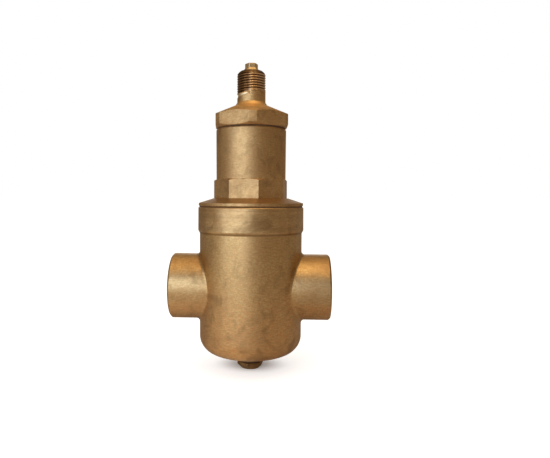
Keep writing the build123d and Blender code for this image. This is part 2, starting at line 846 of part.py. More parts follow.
nodes = [
    separator_body.part,
    body_seal_ring.part,
    cap_seal_ring.part,
    float_chamber.part,
    vent_cap.part,
    valve_seat.part,
    lever_bracket.part,
    bracket_screws.part,
    lever_pin,
    valve_lever.part,
    valve_pin.part,
    valve_tip.part,
    valve_link_pin,
    float_upper_shell.part,
    float_lower_shell.part,
    float_stem.part,
    float_link_pin,
    vent_screw.part,
    vent_screw_oring.part,
    drain_plug.part,
    drain_plug_washer.part,
    element_bottom_plate.part,
    element_top_plate.part,
    element_core_tube.part,
    element_cage.part,
    element_screen.part,
    splash_baffle.part,
]

os.makedirs("parts", exist_ok=True)
for node in nodes:
    export_step(node, f"parts/{node.label}.step")
print("float travel", round(float_travel, 3), "valve travel", round(valve_travel, 3))
print("pivot", pivot_offset, round(pivot_height, 3), "neck top", round(neck_top, 3))
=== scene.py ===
"""Looks of a brass inline air separator with a float vent, built round the packed solids.

Laid out as an add-on: sizes and finishes are properties, each piece has an operator, and main() runs them.
"""
from math import cos, pi, radians, sin, tan

import bpy
import numpy as np
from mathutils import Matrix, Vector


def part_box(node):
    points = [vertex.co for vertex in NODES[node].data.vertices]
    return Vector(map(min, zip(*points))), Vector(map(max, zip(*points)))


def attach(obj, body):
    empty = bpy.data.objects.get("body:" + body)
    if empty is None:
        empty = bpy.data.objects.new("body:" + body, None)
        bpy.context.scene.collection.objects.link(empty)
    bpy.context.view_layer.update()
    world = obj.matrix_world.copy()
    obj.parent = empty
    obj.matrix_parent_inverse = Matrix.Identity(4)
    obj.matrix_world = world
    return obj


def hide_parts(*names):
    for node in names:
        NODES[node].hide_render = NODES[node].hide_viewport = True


bl_info = {
    "name": "Air separator looks",
    "version": (1, 0, 0),
    "blender": (4, 5, 0),
    "location": "3D View > Sidebar > Air separator",
    "description": "Dresses the packed air separator: threads, woven mesh, brass finishes and the studio",
    "category": "Object",
}

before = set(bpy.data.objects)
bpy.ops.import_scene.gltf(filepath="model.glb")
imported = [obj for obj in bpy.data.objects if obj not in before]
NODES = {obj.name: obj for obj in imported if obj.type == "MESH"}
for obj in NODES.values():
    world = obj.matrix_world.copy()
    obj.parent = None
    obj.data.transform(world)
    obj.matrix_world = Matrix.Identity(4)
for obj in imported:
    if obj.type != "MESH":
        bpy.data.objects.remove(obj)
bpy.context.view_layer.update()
MM = 0.001


def length(name, description, millimetres):
    """A length property whose default is given in millimetres and kept in metres."""
    return bpy.props.FloatProperty(
        name=name, description=description, default=millimetres * MM, unit="LENGTH", precision=5
    )


def angle(name, description, degrees):
    """An angle property whose default is given in degrees."""
    default = radians(degrees)
    return bpy.props.FloatProperty(name=name, description=description, default=default, subtype="ANGLE")


def colour(name, description, rgb):
    """A colour property, linear RGB."""
    return bpy.props.FloatVectorProperty(
        name=name, description=description, default=rgb, size=3, subtype="COLOR", min=0, max=1
    )


def amount(name, description, value, high=10.0):
    """A plain number property."""
    return bpy.props.FloatProperty(name=name, description=description, default=value, min=0, max=high)


class SEP_CapSizes(bpy.types.PropertyGroup):
    """Vent cap with its threaded neck."""

    flats: length("Across flats", "Width of the hexagon over its flats", 51.7)
    corner: length("Corner radius", "Radius of the turned corners", 28.4)
    turn: angle("Turn", "Angle of one corner from the outlet", -84.6)
    bottom: length("Underside", "Height of the cap's underside", 174.2)
    corner_top: length("Corner top", "Height where the cone meets the turned corners", 183.6)
    cone_angle: angle("Cone angle", "Slope of the cone over the hexagon", 24.0)
    bevel_angle: angle("Bevel angle", "Slope of the turned bevel under the hexagon", 30.0)
    neck: length("Neck radius", "Radius of the plain neck", 10.35)
    thread: length("Thread radius", "Major radius of the neck's thread", 10.48)
    pitch: length("Thread pitch", "Pitch of the neck's thread", 1.814)
    depth: length("Thread depth", "Depth of the neck's thread", 0.7)
    relief_bottom: length("Run-out bottom", "Height where the thread's run-out ends", 196.5)
    thread_bottom: length("Thread bottom", "Height where the thread starts", 200.4)
    chamfer_height: length("Lead height", "Height of the thread's rounded lead", 2.9)
    chamfer_width: length("Lead width", "Width of the thread's rounded lead", 2.2)
    spigot: length("Spigot radius", "Outer radius of the spigot", 22.6)
    spigot_bore: length("Spigot bore", "Inner radius of the spigot", 19.6)
    seat_face: length("Seat face", "Height of the face round the valve seat", 186.44)
    seat_boss: length("Seat boss", "Radius of the flat round the valve seat", 14.0)
    bore: length("Bore", "Radius of the bores for the seat and the vent screw", 4.1)
    vent: length("Vent bore", "Radius of the narrow bore between them", 2.2)
    vent_bottom: length("Vent bottom", "Height where the narrow bore's cone ends", 198.44)
    screw_depth: length("Screw depth", "Depth of the vent screw's bore", 8.3)


class SEP_ScrewSizes(bpy.types.PropertyGroup):
    """Vent screw."""

    flats: length("Across flats", "Width of the head over its flats", 8.4)
    turn: angle("Turn", "Angle of one corner from the outlet", 10.7)
    head: length("Head height", "Height of the hexagon", 3.5)
    flange: length("Flange radius", "Radius of the cone under the head", 6.3)
    flange_height: length("Flange height", "Height of the cone under the head", 2.1)
    shank: length("Thread radius", "Major radius of the screw's thread", 4.0)
    pitch: length("Thread pitch", "Pitch of the screw's thread", 1.0)
    depth: length("Thread depth", "Depth of the screw's thread", 0.5)
    wire: length("Seal wire", "Thickness of the ring in the screw's groove", 1.5)
    duct: length("Duct radius", "Radius of the hole through the screw", 1.2)


class SEP_PlugSizes(bpy.types.PropertyGroup):
    """Drain plug."""

    flats: length("Across flats", "Width of the hexagon over its flats", 17.0)
    turn: angle("Turn", "Angle of one corner from the outlet", 20.0)
    face: length("Face radius", "Radius of the flat face under the bevel", 6.6)
    head: length("Head height", "Height of the hexagon", 5.0)
    shank: length("Thread radius", "Major radius of the plug's thread", 6.5)
    washer: length("Washer height", "Thickness of the washer under the boss", 1.4)
    pitch: length("Thread pitch", "Pitch of the plug's thread", 1.337)
    depth: length("Thread depth", "Depth of the plug's thread", 0.7)
    bore: length("Bore", "Radius of the hollow in the shank", 3.5)


class SEP_MeshSizes(bpy.types.PropertyGroup):
    """Woven sleeve of the bubble element."""

    wire: length("Wire radius", "Radius of the mesh's wires", 0.11)
    uprights: bpy.props.IntProperty(name="Upright wires", description="Wires round the sleeve", default=96)
    rings: bpy.props.IntProperty(name="Ring wires", description="Wires up the sleeve", default=54)


class SEP_Finish(bpy.types.PropertyGroup):
    """Colours and grain of the finishes."""

    cast: colour("Cast brass", "Blasted brass of the body", (0.755, 0.538, 0.26))
    # Lighter and redder than the cast brass above: partly a redder tone, partly painted bounce light from the
    # floor.
    cast_low_with_painted_bounce: colour("Low cast brass", "Warmer brass towards the body's bottom", (0.93, 0.57, 0.265))
    machined: colour("Machined brass", "Turned brass of the collar and sockets", (0.85, 0.62, 0.325))
    forged: colour("Forged brass", "Satin brass of the chamber and the cap", (0.79, 0.55, 0.278))
    reddish: colour("Reddish brass", "Reddish tarnish in patches on the brass", (0.70, 0.445, 0.22))
    # Bright near-white brass of the run-out: partly newly cut brass, partly a painted highlight.
    fresh_cut_and_highlight: colour("Fresh brass", "Bright brass of the thread's run-out", (0.97, 0.82, 0.55))
    # Used in the grooves and on the crests of the inlet side, where its darkness is painted shade.
    thread: colour("Thread brass", "Browner brass in the cut thread", (0.27, 0.155, 0.075))
    # Paler crests on the outlet side: a painted highlight.
    crest: colour("Crest brass", "Paler brass of the thread's rubbed crests", (0.95, 0.68, 0.43))
    # Orange round the foot of the neck: a painted reflection of the neck in the cone below it.
    warm: colour("Warm brass", "Orange brass round the foot of the neck", (1.0, 0.68, 0.31))
    plug: colour("Plug brass", "Darkened brass of the drain plug", (0.36, 0.235, 0.12))
    screw: colour("Screw brass", "Pale turned brass of the vent screw", (0.95, 0.76, 0.49))
    inner: colour("Inner brass", "Clean turned brass of the small inner pieces", (0.83, 0.65, 0.38))
    steel: colour("Steel", "Stainless steel of the bracket, lever and pins", (0.56, 0.55, 0.53))
    float_plastic: colour("Float plastic", "Pale moulded plastic of the float", (0.80, 0.78, 0.70))
    cage_plastic: colour("Cage plastic", "Dark moulded plastic of the element's cage", (0.035, 0.036, 0.04))
    rubber: colour("Rubber", "Rubber of the rings and the valve's tip", (0.018, 0.018, 0.018))
    fibre: colour("Fibre", "Dark fibre of the flat seals", (0.085, 0.046, 0.019))
    grain: length("Grain", "Size of the blasted surface's grain", 0.6)
    roughness: amount("Roughness", "Roughness of the satin brass", 0.36, 1.0)


class SEP_Studio(bpy.types.PropertyGroup):
    """Camera, light and floor."""

    azimuth: angle("Camera azimuth", "Direction of the camera from the object", -86.8)
    distance: length("Camera distance", "Distance of the camera from the object's axis", 373.0)
    height: length("Camera height", "Height of the level camera", 124.3)
    focal: amount("Focal length", "Focal length on a 36 mm wide sensor, in millimetres", 33.25, 200.0)
    shift_x: bpy.props.FloatProperty(name="Shift across", description="Camera shift across", default=0.0437)
    shift_y: bpy.props.FloatProperty(name="Shift up", description="Camera shift up", default=-0.0582)
    roll: angle("Roll", "Lean of the camera about its own line of sight", -0.25)
    key_level: amount("Key level", "Brightness of the large soft box, where 1 is white", 1.68)
    room: colour("Room", "Dim warm room that the metal sees on the right", (0.158, 0.110, 0.063))
    ceiling: colour("Ceiling", "Warmer and brighter part of the room overhead", (0.659, 0.433, 0.226))
    daylight: amount("Daylight", "Brightness of the white room that matt surfaces see", 0.45, 1.0)
    floor: colour("Floor", "Pale floor", (0.9, 0.9, 0.9))
    floor_glow: amount("Floor glow", "Part of the floor's white that is its own", 0.62, 1.0)
    bounce: colour("Bounce", "Light from the near floor into the metal", (0.155, 0.096, 0.049))
    bounce_left: colour("Left bounce", "The same on the side of the key light", (0.38, 0.295, 0.215))


# ---- surfaces


def add_object(name, data):
    """An object for a mesh, a light or a camera, in the scene."""
    obj = bpy.data.objects.new(name, data)
    bpy.context.scene.collection.objects.link(obj)
    return obj


def put_mesh(name, vertices, faces, sharp=35.0):
    """Makes a smooth-shaded mesh object of vertex rows and a face array, with its faces turned outwards.

    The side comes from the sign of the volume, the sum of the tetrahedra from the origin to each triangle.
    """
    a, b, c = (vertices[faces[:, k]] for k in (0, 1, 2))
    d = vertices[faces[:, 3]]
    volume = np.einsum("ij,ij->i", a, np.cross(b, c)).sum() + np.einsum("ij,ij->i", a, np.cross(c, d)).sum()
    if volume < 0:
        faces = faces[:, ::-1]
    mesh = bpy.data.meshes.new(name)
    lists = [list(dict.fromkeys(face)) for face in faces.tolist()]
    mesh.from_pydata(vertices.tolist(), [], lists)
    mesh.polygons.foreach_set("use_smooth", np.ones(len(lists), bool))
    mesh.update()
    mesh.set_sharp_from_angle(angle=radians(sharp))
    return add_object(name, mesh)


def lengths(vectors):
    """Length of each vector, as a last axis of one."""
    return np.linalg.norm(vectors, axis=-1, keepdims=True)


def round_corners(path, radius, steps=3):
    """Rounds each inner corner of a path of (radius, height) rows, for all columns at once.

    A corner is replaced by a parabola from a point before it to a point after it, each `radius` away or 0.45
    of the run, whichever is less: p = (1-t)^2 a + 2 t (1-t) corner + t^2 b.
    """
    rows = [path[0]]
    t = np.linspace(0, 1, steps)[:, None, None]
    for before, corner, after in zip(path[:-2], path[1:-1], path[2:]):
        runs = (before - corner, after - corner)
        a, b = (corner + run * np.minimum(radius / np.maximum(lengths(run), 1e-9), 0.45) for run in runs)
        rows.extend((1 - t) ** 2 * a + 2 * t * (1 - t) * corner + t**2 * b)
    rows.append(path[-1])
    return rows


def hexagon(sizes, limit, count, edges=(0.0,)):
    """Angles round the axis, and the radius there of a hexagon whose corners are turned off to a limit.

    The angles are an even set and closely spaced ones at each stated angle from every corner. The radius is
    the lesser of the limit and (flats / 2) / cos(angle from the middle of the face).
    """
    base = np.arange(count) * 2 * pi / count
    near = np.radians([-0.7, 0.0, 0.7])
    corners = sizes.turn + np.arange(6) * pi / 3
    special = (corners[:, None, None] + np.asarray(edges)[None, :, None] + near).ravel()
    angles = np.concatenate([base, special]) % (2 * pi)
    angles.sort()
    angles = angles[np.concatenate([[True], np.diff(angles) > 1e-4])]
    from_face = (angles - sizes.turn) % (pi / 3) - pi / 6
    return angles, np.minimum(sizes.flats / 2 / np.cos(from_face), limit)


def ridge(turns):
    """Height of a thread's flank, 0 at the root and 1 at the crest, for round crests and narrow grooves.

    It is 0.7 |cos(half the phase)| + 0.3 (1 + cos(phase)) / 2, where the phase is 0 at the crest.
    """
    phase = (turns - 0.5) * 2 * pi
    return 0.7 * np.abs(np.cos(phase / 2)) + 0.15 * (1 + np.cos(phase))


def threaded_rows(angles, bottom, top, major, sizes, fade_turn, per_pitch=14):
    """Rows of a right-hand thread: radius = major - depth * (1 - ridge) * fade.

    The ridge follows height / pitch - angle / full turn. The fade rises over half a pitch along a helix that
    starts at fade_turn, so that the groove runs out over one turn, and the helix drops back to its start in
    the turn's last part. The bottom may vary round the axis.
    """
    pitch, last_part = sizes.pitch, 0.06
    bottom = np.zeros_like(angles) + bottom
    part = np.linspace(0, 1, int((top - bottom.min()) / pitch * per_pitch) + 2)[:, None]
    heights = bottom + (top - bottom) * part
    along = ((angles - fade_turn) % (2 * pi)) / (2 * pi)
    start = bottom + pitch * along * np.clip((1 - along) / last_part, 0, 1)
    fade = np.clip((heights - start) / (0.5 * pitch), 0, 1)
    fade = fade * fade * (3 - 2 * fade)
    cut = 1 - ridge(heights / pitch - angles / (2 * pi))
    radius = major - sizes.depth * cut * fade
    return [np.stack([r, z], -1) for r, z in zip(radius, heights)]


def profile(angles, *points, rounding=0.0):
    """One row over all columns for each point of (radius, height), either of which may vary round the axis."""
    rows = [np.stack([np.zeros_like(angles) + value for value in point], -1) for point in points]
    return round_corners(rows, rounding) if rounding else rows


def around_neck(along, stops):
    """A length in metres that varies round the neck, between stops of degrees and millimetres."""
    return np.interp(along, np.radians(list(stops)), list(stops.values())) * MM


def turned_piece(name, angles, rows, closed=True):
    """Carries rows of (radius, height) round the axis: x = r cos a, y = r sin a, z = height.

    A closed path joins its last row to its first. An open one starts and ends in a pole on the axis.
    """
    path = np.stack(rows)
    x = path[..., 0] * np.cos(angles)
    y = path[..., 0] * np.sin(angles)
    vertices = np.stack([x, y, path[..., 1]], -1).reshape(-1, 3)
    count, columns = path.shape[:2]
    index = np.arange(count * columns).reshape(count, columns)
    upper = np.roll(index, -1, 0) if closed else index[1:]
    lower = index if closed else index[:-1]
    faces = np.stack([lower, np.roll(lower, -1, 1), np.roll(upper, -1, 1), upper], -1).reshape(-1, 4)
    if not closed:
        poles = np.array([[0, 0, path[0, 0, 1]], [0, 0, path[-1, 0, 1]]])
        first, last = len(vertices), len(vertices) + 1
        vertices = np.concatenate([vertices, poles])
        start, end = index[0], index[-1]
        bottom = np.stack([np.full_like(start, first), np.roll(start, -1), start, start], -1)
        top = np.stack([np.full_like(end, last), end, np.roll(end, -1), np.roll(end, -1)], -1)
        faces = np.concatenate([faces, bottom, top])
    return put_mesh(name, vertices, faces)


def tubes(name, lines, around, radius):
    """One closed tube along each line, all alike: centre + radius * (cos a * outward + sin a * across).

    lines and around are arrays of (wires, points, 3): the centre lines and the outward directions.
    """
    ahead = np.roll(lines, -1, 1) - np.roll(lines, 1, 1)
    ahead[:, 0], ahead[:, -1] = lines[:, 1] - lines[:, 0], lines[:, -1] - lines[:, -2]
    ahead /= lengths(ahead)
    across = np.cross(ahead, around)
    across /= lengths(across)
    outward = np.cross(across, ahead)
    side = np.arange(6) * pi / 3
    ring = np.cos(side)[:, None] * outward[..., None, :] + np.sin(side)[:, None] * across[..., None, :]
    vertices = lines[..., None, :] + radius * ring
    wires, points = lines.shape[:2]
    index = np.arange(wires * points * 6).reshape(wires, points, 6)
    low, high = index[:, :-1], index[:, 1:]
    faces = np.stack([low, np.roll(low, -1, 2), np.roll(high, -1, 2), high], -1).reshape(-1, 4)
    caps = [index[:, 0, ::-1], index[:, -1]]
    ends = np.concatenate(
        [np.stack([c[:, [0, 1, 2, 3]], c[:, [0, 3, 4, 5]]], 1).reshape(-1, 4) for c in caps]
    )
    return put_mesh(name, vertices.reshape(-1, 3), np.concatenate([faces, ends]), sharp=50.0)


# ---- finishes

# Where a finish changes, in metres. A step is the pair of places where it starts and is complete, and a band
# is a step in and a step out.
# Where the body's lower brass, with its painted bounce light from the floor, comes in.
POT_LOW_STEP = (0.085, 0.012)
COLLAR_STEP = (0.0983, 0.1005)
COLLAR_LINE_BAND = ((0.0977, 0.0983), (0.0998, 0.0991))
SOCKET_STEP = (0.0386, 0.0402)
# Where the sockets' undersides take the painted bounce light from the floor.
SOCKET_UNDERSIDE_STEP = (0.054, 0.046)
# This and the next step place painted shade on the outlet socket's upper outer end.
SOCKET_UPPER_STEP = (0.050, 0.057)
OUTLET_STEP = (0.033, 0.052)
LID_STEP = (0.1225, 0.1205)
# Where the painted shade on the lid cone under the wrench flats lies.
LID_CONE_PAINTED_SHADE_BAND = ((0.1198, 0.1203), (0.1238, 0.1230))
# The wrench flats' paler brass is a painted highlight.
WRENCH_FLATS_BAND = ((0.1230, 0.1240), (0.1412, 0.1402))
NECK_STEP = (0.1905, 0.1925)
# Where the painted orange reflection round the foot of the neck lies.
NECK_FOOT_PAINTED_REFLECTION_BAND = ((0.1865, 0.1885), (0.1945, 0.1925))
# These steps place the run-out's bright patch: newly cut brass with a painted highlight.
RUN_OUT_LOWER_STEP = (0.1993, 0.1998)
RUN_OUT_UPPER_STEP = (0.2009, 0.2004)
RUN_OUT_SIDE_STEP = (-0.0016, -0.0030)
RUN_OUT_REACH = 0.0085
# Where the thread's crests go from the pale painted highlight to the dark painted shade.
CREST_PAINTED_LIGHT_SIDE_STEP = (0.0006, -0.0022)

UPRIGHT = (0, 0, 1)
ALONG_PIPE = (1, 0, 0)


class Tree:
    """Short way to add and join shader nodes in a tree, which it empties first."""

    def __init__(self, tree):
        self.tree = tree
        tree.nodes.clear()

    def add(self, kind, values=None, **settings):
        """Adds a node, sets its settings and fills or links its inputs by name or number."""
        node = self.tree.nodes.new("ShaderNode" + kind)
        for key, value in settings.items():
            setattr(node, key, value)
        for key, value in (values or {}).items():
            if isinstance(value, bpy.types.NodeSocket):
                self.tree.links.new(value, node.inputs[key])
            else:
                node.inputs[key].default_value = value
        return node

    def math(self, operation, *values):
        """A Math node's result."""
        return self.add("Math", dict(enumerate(values)), operation=operation).outputs[0]

    def times(self, a, b):
        """The product of two values."""
        return self.math("MULTIPLY", a, b)

    def plus(self, a, b):
        """The sum of two values."""
        return self.math("ADD", a, b)

    def vector(self, operation, *values):
        """A Vector Math node's result: a direction from NORMALIZE, else a number."""
        node = self.add("VectorMath", dict(enumerate(values)), operation=operation)
        return node.outputs["Vector" if operation == "NORMALIZE" else "Value"]

    def ramp(self, value, low, high, to_low=0.0, to_high=1.0):
        """A smooth step from to_low at low to to_high at high."""
        values = {"Value": value, "From Min": low, "From Max": high, "To Min": to_low, "To Max": to_high}
        return self.add("MapRange", values, interpolation_type="SMOOTHSTEP").outputs["Result"]

    def band(self, value, step_in, step_out):
        """1 between two smooth steps and 0 outside them."""
        return self.times(self.ramp(value, *step_in), self.ramp(value, *step_out))

    def mix(self, factor, a, b, blend="MIX"):
        """A colour mix."""
        node = self.add("Mix", {0: factor}, data_type="RGBA", blend_type=blend)
        for socket, value in ((node.inputs[6], a), (node.inputs[7], b)):
            if isinstance(value, bpy.types.NodeSocket):
                self.tree.links.new(value, socket)
            else:
                socket.default_value = (*value[:3], 1)
        return node.outputs[2]

    def lay(self, tone, mask, share, rgb):
        """Lays a colour over a tone through a mask, the share being what it covers where the mask is 1."""
        return self.mix(self.times(mask, share), tone, rgb)

    def place(self):
        """The object's own coordinates."""
        return self.add("TexCoord").outputs["Object"]

    def mapped(self, place, **values):
        """Coordinates moved, turned and scaled."""
        return self.add("Mapping", {"Vector": place, **values}).outputs["Vector"]

    def noise(self, place, scale, detail, roughness=0.5, distortion=0.0):
        """A noise pattern's value."""
        names = ("Vector", "Scale", "Detail", "Roughness", "Distortion")
        values = dict(zip(names, (place, scale, detail, roughness, distortion)))
        return self.add("TexNoise", values).outputs["Fac"]

    def group(self, name, **values):
        """Places a shared group, which is built the first time it is asked for, and gives its outputs."""
        if name not in GROUPS:
            GROUPS[name] = make_group(name, *GROUP_MAKERS[name])
        node = self.add("Group")
        node.node_tree = GROUPS[name]
        for key, value in values.items():
            node.inputs[key.capitalize().replace("_", " ")].default_value = value
        return node.outputs


class Finish(Tree):
    """A material with its Principled shader and the surface grain that every finish starts from."""

    def __init__(self, name, grain_size, blotch_size, metallic=1.0):
        self.material = bpy.data.materials.new(name)
        self.material.use_nodes = True
        super().__init__(self.material.node_tree)
        self.shader = self.add("BsdfPrincipled", {"Metallic": metallic})
        self.add("OutputMaterial", {0: self.shader.outputs[0]})
        surface = self.group("surface grain", size=grain_size, blotch_size=blotch_size)
        self.grain, self.blotch, self.speckle = (surface[key] for key in ("Height", "Blotch", "Speckle"))

    def done(self, tone, rough, height, depth):
        """Joins the tone, the roughness and a height with its depth in metres, and gives the material.

        The roughness is a value, or the pair of numbers for where there is no blotch and where it is full.
        """
        if isinstance(rough, tuple):
            rough = self.ramp(self.blotch, 0.0, 1.0, *rough)
        bump = self.add("Bump", {"Height": height, "Strength": 1.0, "Distance": depth})
        for key, value in (("Base Color", tone), ("Roughness", rough), ("Normal", bump.outputs["Normal"])):
            self.tree.links.new(value, self.shader.inputs[key])
        return self.material

    def from_axis(self, place):
        """Distance from the upright axis, the length of (x, y), for separated coordinates."""
        return self.vector("LENGTH", self.add("CombineXYZ", {0: place["X"], 1: place["Y"]}).outputs[0])


def make_group(name, inputs, build):
    """A shader node group with the inputs' names and defaults, and the outputs that build returns by name."""
    tree = bpy.data.node_groups.new(name, "ShaderNodeTree")
    for label, default in inputs.items():
        kind = "NodeSocketVector" if isinstance(default, tuple) else "NodeSocketFloat"
        tree.interface.new_socket(label, in_out="INPUT", socket_type=kind).default_value = default
    t = Tree(tree)
    results = build(t, tree.nodes.new("NodeGroupInput").outputs)
    for label in results:
        tree.interface.new_socket(label, in_out="OUTPUT", socket_type="NodeSocketFloat")
    sink = tree.nodes.new("NodeGroupOutput")
    for label, value in results.items():
        tree.links.new(value, sink.inputs[label])
    return tree


def grain(t, given):
    """Blasted or moulded surface: fine bumps, soft blotches and coarser specks."""
    place = t.place()
    fine_scale = t.math("DIVIDE", 1.0, given["Size"])
    fine = t.noise(place, fine_scale, 3.0, 0.6)
    cell_scale = t.times(fine_scale, 0.45)
    cells = t.add("TexVoronoi", {"Vector": place, "Scale": cell_scale}, feature="SMOOTH_F1").outputs["Distance"]
    blotch = t.noise(place, t.math("DIVIDE", 1.0, given["Blotch size"]), 4.0, 0.55)
    coarse = t.noise(place, t.times(fine_scale, 0.5), 2.0)
    speckle = t.math("MULTIPLY_ADD", coarse, 0.6, t.times(fine, 0.4))
    return {
        "Height": t.plus(t.times(fine, 0.6), t.times(cells, 0.5)),
        "Blotch": t.ramp(blotch, 0.32, 0.68),
        "Speckle": t.ramp(speckle, 0.37, 0.63),
    }


def turned_lines(t, given):
    """Turned surface: fine grooves of uneven depth, spaced along an axis."""
    steps = t.math("DIVIDE", t.vector("DOT_PRODUCT", t.place(), given["Axis"]), given["Pitch"])
    fine, wide = (
        t.add("TexNoise", {"W": steps, "Scale": scale, "Detail": 2.0}, noise_dimensions="1D").outputs["Fac"]
        for scale in (1.0, 0.12)
    )
    return {"Height": t.plus(t.times(fine, 0.7), t.times(wide, 0.3)), "Bands": t.ramp(wide, 0.35, 0.65)}


def handling_marks(t, given):
    """Handling marks: broad soft stains and sparse fine scratches."""
    place = t.place()
    scale = t.math("DIVIDE", 1.0, given["Size"])
    stain = t.noise(place, scale, 6.0, distortion=0.6)
    stretched = t.mapped(place, Rotation=(0.4, 0.9, 0.3), Scale=(1, 14, 3))
    hair = t.noise(stretched, t.times(scale, 6.0), 1.0)
    return {"Stain": t.ramp(stain, 0.42, 0.66), "Scratch": t.ramp(hair, 0.70, 0.74)}


def tarnish(t, given):
    """Aged brass: broad reddish patches, sparse dark smudges and faint streaks round the piece."""
    place = t.place()
    scale = t.math("DIVIDE", 1.0, given["Size"])
    red = t.noise(place, scale, 3.0, distortion=0.5)
    moved = t.mapped(place, Location=(0.31, 0.17, 0.05))
    smudge = t.noise(moved, t.times(scale, 1.5), 6.0, distortion=0.9)
    streak = t.noise(t.mapped(place, Scale=(1, 1, 4.5)), t.times(scale, 6.0), 4.0, 0.65)
    return {
        "Red": t.ramp(red, 0.38, 0.64),
        "Smudge": t.ramp(smudge, 0.50, 0.72),
        "Streak": t.ramp(streak, 0.34, 0.68),
    }


GROUPS = {}
GROUP_MAKERS = {
    "surface grain": ({"Size": 0.0005, "Blotch size": 0.009}, grain),
    "turned lines": ({"Axis": UPRIGHT, "Pitch": 0.0004}, turned_lines),
    "handling marks": ({"Size": 0.03}, handling_marks),
    "brass tarnish": ({"Size": 0.02}, tarnish),
}


def shade(rgb, factor):
    """The same hue, lighter or darker."""
    return tuple(min(1.0, c * factor) for c in rgb)


def aged(t, tone, red_tone, contrast=0.14, size=0.015, shares=(0.46, 0.46, 0.38)):
    """Lays specks over a tone, and then reddish patches, darker smudges and streaks, each with its share."""
    tone = t.mix(contrast, tone, t.speckle, "OVERLAY")
    masks = t.group("brass tarnish", size=size)
    for name, share, factor in zip(("Red", "Smudge", "Streak"), shares, (1.0, 0.45, 0.62)):
        tone = t.lay(tone, masks[name], share, shade(red_tone, factor))
    return tone


def brass(name, rgb, roughness, grain_size, pitch, depth):
    """Turned satin brass: soft blotches, grooves round the piece and darker stains; lengths in millimetres."""
    t = Finish(name, grain_size * MM, 0.003)
    marks = t.group("handling marks", size=0.03)
    lines = t.group("turned lines", axis=UPRIGHT, pitch=pitch * MM)
    tone = t.mix(t.blotch, shade(rgb, 0.86), rgb)
    tone = t.lay(tone, marks["Stain"], 0.25, shade(rgb, 0.72))
    tone = t.lay(tone, lines["Bands"], 0.12, shade(rgb, 1.08))
    height = t.plus(t.times(t.grain, 0.5), lines["Height"])
    return t.done(tone, (roughness + 0.05, roughness - 0.03), height, depth * MM)


def body_brass(finish):
    """Body casting: blasted brass, warmer and lighter low down, partly a redder tone and partly painted bounce
    light from the floor, with turned collar and turned sockets.

    The sockets' undersides take the same painted bounce light, the outlet's outer end is darker above with
    painted shade that tones down its highlight, and a dark line runs round the foot of the collar.
    """
    t = Finish("blasted body brass", finish.grain, 0.010)
    place = t.add("SeparateXYZ", {0: t.place()}).outputs
    across = t.group("turned lines", axis=ALONG_PIPE, pitch=0.00045)
    upright = t.group("turned lines", axis=UPRIGHT, pitch=0.00045)
    collar = t.ramp(place["Z"], *COLLAR_STEP)
    socket = t.times(t.ramp(t.from_axis(place), *SOCKET_STEP), t.math("SUBTRACT", 1.0, collar))
    # Lower down the brass is redder and lighter: a redder tone with painted bounce light from the floor.
    tone = t.mix(t.ramp(place["Z"], *POT_LOW_STEP), finish.cast, finish.cast_low_with_painted_bounce)
    tone = t.lay(tone, t.blotch, 0.55, t.mix(0.5, tone, finish.machined))
    tone = t.mix(collar, tone, finish.machined)
    # The sockets' undersides take the same painted bounce light, as a lighter and redder brass.
    underside = t.ramp(place["Z"], *SOCKET_UNDERSIDE_STEP)
    tone = t.mix(socket, tone, t.mix(underside, shade(finish.machined, 0.96), shade(finish.cast_low_with_painted_bounce, 0.95)))
    tone = aged(t, tone, finish.reddish, 0.19, 0.02, (0.50, 0.50, 0.42))
    streaks = t.times(t.times(upright["Bands"], collar), 0.2)
    line = t.times(t.band(place["Z"], *COLLAR_LINE_BAND), 0.65)
    tone = t.mix(t.math("MAXIMUM", streaks, line), tone, shade(finish.reddish, 0.42))
    # Painted shade over the outlet socket's upper outer end, toning down its highlight.
    outlet_painted_shade = t.times(t.ramp(place["X"], *OUTLET_STEP), t.ramp(place["Z"], *SOCKET_UPPER_STEP))
    tone = t.lay(tone, outlet_painted_shade, 0.20, shade(finish.reddish, 0.5))
    lines = t.plus(t.times(across["Height"], socket), t.times(upright["Height"], collar))
    plain = t.math("SUBTRACT", 1.0, t.times(t.math("MAXIMUM", socket, collar), 0.55))
    height = t.plus(t.times(t.grain, plain), lines)
    rough = t.ramp(t.blotch, 0.0, 1.0, finish.roughness + 0.05, finish.roughness - 0.02)
    rough = t.math("SUBTRACT", t.math("MULTIPLY_ADD", socket, 0.03, rough), t.times(collar, 0.01))
    return t.done(tone, rough, height, 0.00007)


def chamber_brass(finish):
    """Float chamber: forged satin with faint draw marks up the tube and a turned lid rim.

    The wrench flats are paler as a painted highlight, and the cone between them and the rim is darker with
    painted shade under the flats.
    """
    t = Finish("satin chamber brass", finish.grain * 0.9, 0.007)
    coordinates = t.place()
    height_up = t.add("SeparateXYZ", {0: coordinates}).outputs["Z"]
    upright = t.group("turned lines", axis=UPRIGHT, pitch=0.0004)
    streak = t.noise(t.mapped(coordinates, Scale=(1, 1, 0.14)), 520.0, 2.0)
    # The wrench flats are painted paler: a painted highlight.
    flats = t.band(height_up, *WRENCH_FLATS_BAND)
    forged = t.mix(flats, finish.forged, shade(finish.forged, 1.10))
    tone = t.mix(t.blotch, shade(finish.forged, 0.90), forged)
    tone = t.lay(tone, t.ramp(streak, 0.35, 0.7), 0.26, shade(finish.forged, 0.74))
    tone = aged(t, tone, finish.reddish)
    # Painted shade on the lid cone under the wrench flats.
    tone = t.lay(tone, t.band(height_up, *LID_CONE_PAINTED_SHADE_BAND), 0.62, shade(finish.reddish, 0.6))
    lid = t.ramp(height_up, *LID_STEP)
    height = t.plus(t.times(t.grain, 0.8), t.times(upright["Height"], lid))
    return t.done(tone, (finish.roughness + 0.15, finish.roughness + 0.09), height, 0.00006)


